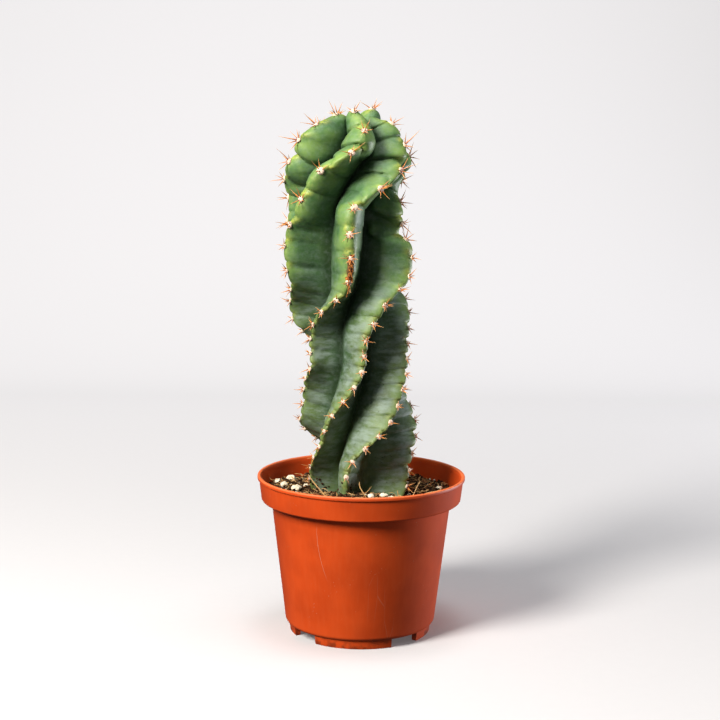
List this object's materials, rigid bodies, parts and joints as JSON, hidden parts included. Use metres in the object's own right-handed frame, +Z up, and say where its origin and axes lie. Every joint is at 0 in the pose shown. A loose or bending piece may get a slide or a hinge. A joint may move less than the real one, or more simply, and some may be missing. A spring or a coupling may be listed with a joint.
{
  "type": "potted columnar cactus",
  "caption": "Spiral-ribbed columnar cactus with short spines at each areole, growing in potting mix in a round tapered plastic nursery pot with a rim band and feet.",
  "frame": {"origin": "centre of the pot's feet, on the surface that the pot stands on", "axes": "+Z up along the pot's axis and the stem, -Y towards the side that the picture shows"},
  "size_m": [0.1204, 0.1204, 0.3086],
  "materials": {
    "pot_plastic": "satin terracotta-coloured injection-moulded polypropylene",
    "potting_mix": "dark crumbly peat and bark with pale fibres, matte",
    "cactus_skin": "waxy green skin with a pale bloom, woolly areoles and tan spines",
    "perlite": "matte off-white expanded perlite"
  },
  "bodies": {
    "root": {"pot": "pot_plastic", "potting_mix": "potting_mix", "cereus_stem": "cactus_skin", "perlite_grain_1": "perlite", "perlite_grain_2": "perlite", "perlite_grain_3": "perlite", "perlite_grain_4": "perlite", "perlite_grain_5": "perlite", "perlite_grain_6": "perlite", "perlite_grain_7": "perlite", "perlite_grain_8": "perlite", "perlite_grain_9": "perlite", "perlite_grain_10": "perlite", "perlite_grain_11": "perlite", "perlite_grain_12": "perlite"}
  },
  "joints": []
}
